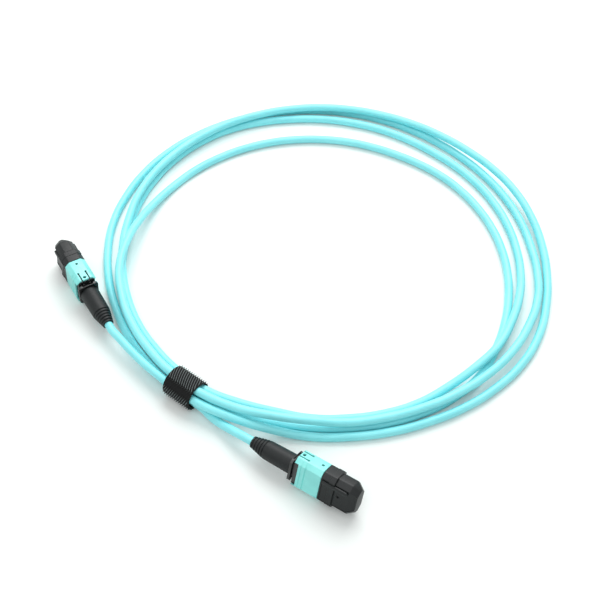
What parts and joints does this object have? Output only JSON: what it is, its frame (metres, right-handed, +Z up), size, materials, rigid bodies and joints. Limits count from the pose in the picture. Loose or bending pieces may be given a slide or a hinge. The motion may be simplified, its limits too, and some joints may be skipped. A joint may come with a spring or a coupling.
{
  "type": "fiber optic patch cord",
  "caption": "Coiled multi-fibre optic patch cord in a wrap tie, with a capped push-on plug, pull housing and strain boot at each end.",
  "frame": {"origin": "on the floor, under the middle of the box round both plugs and the tie", "axes": "+Z up, +Y away from the viewer, +X to the right; the cord lies on z = 0"},
  "size_m": [0.1838, 0.1893, 0.0136],
  "materials": {
    "jacket_aqua": "satin low-smoke cable jacket",
    "tie_black": "ribbed woven hook-and-loop strap",
    "boot_black": "matt moulded rubber",
    "plug_black": "fine matt moulded plastic",
    "housing_aqua": "satin moulded plastic",
    "cap_black": "soft matt moulded plastic",
    "ferrule_black": "glass-filled moulded plastic, ground end",
    "steel": "bright drawn and stamped steel",
    "yarn": "aramid yarn",
    "fibre": "coated fibre ribbon"
  },
  "bodies": {
    "root": {"cable_tail_a": "jacket_aqua", "cable_coil": "jacket_aqua", "cable_tail_b": "jacket_aqua", "cable_tie": "tie_black", "strain_boot_a": "boot_black", "crimp_sleeve_a": "steel", "aramid_yarn_a": "yarn", "spring_push_a": "plug_black", "plug_frame_a": "plug_black", "coupling_springs_a": "steel", "ferrule_spring_a": "steel", "fibre_ribbon_a": "fibre", "strain_boot_b": "boot_black", "crimp_sleeve_b": "steel", "aramid_yarn_b": "yarn", "spring_push_b": "plug_black", "plug_frame_b": "plug_black", "coupling_springs_b": "steel", "ferrule_spring_b": "steel", "fibre_ribbon_b": "fibre"},
    "pull_housing_a": {"outer_housing_a": "housing_aqua"},
    "floating_ferrule_a": {"ferrule_a": "ferrule_black", "ferrule_boot_a": "boot_black", "pin_keeper_a": "steel"},
    "cap_a": {"dust_cap_a": "cap_black"},
    "pull_housing_b": {"outer_housing_b": "housing_aqua"},
    "floating_ferrule_b": {"ferrule_b": "ferrule_black", "ferrule_boot_b": "boot_black", "pin_keeper_b": "steel"},
    "cap_b": {"dust_cap_b": "cap_black"}
  },
  "joints": [
    {"name": "cap_pull_a", "type": "slide", "parent": "root", "child": "cap_a", "axis": [-0.512, 0.8589, 0.014], "range_m": [0, 0.03]},
    {"name": "housing_pull_a", "type": "slide", "parent": "root", "child": "pull_housing_a", "axis": [0.512, -0.8589, -0.014], "range_m": [0, 0.002], "stiffness_N_per_m": 300, "springref_m": -0.004, "deforming": ["coupling_springs_a"]},
    {"name": "ferrule_float_a", "type": "slide", "parent": "root", "child": "floating_ferrule_a", "axis": [0.512, -0.8589, -0.014], "range_m": [0, 0.0006], "stiffness_N_per_m": 1500, "springref_m": -0.005, "deforming": ["ferrule_spring_a", "fibre_ribbon_a"]},
    {"name": "cap_pull_b", "type": "slide", "parent": "root", "child": "cap_b", "axis": [0.8312, -0.5544, 0.0419], "range_m": [0, 0.03]},
    {"name": "housing_pull_b", "type": "slide", "parent": "root", "child": "pull_housing_b", "axis": [-0.8312, 0.5544, -0.0419], "range_m": [0, 0.002], "stiffness_N_per_m": 300, "springref_m": -0.004, "deforming": ["coupling_springs_b"]},
    {"name": "ferrule_float_b", "type": "slide", "parent": "root", "child": "floating_ferrule_b", "axis": [-0.8312, 0.5544, -0.0419], "range_m": [0, 0.0006], "stiffness_N_per_m": 1500, "springref_m": -0.005, "deforming": ["ferrule_spring_b", "fibre_ribbon_b"]}
  ]
}
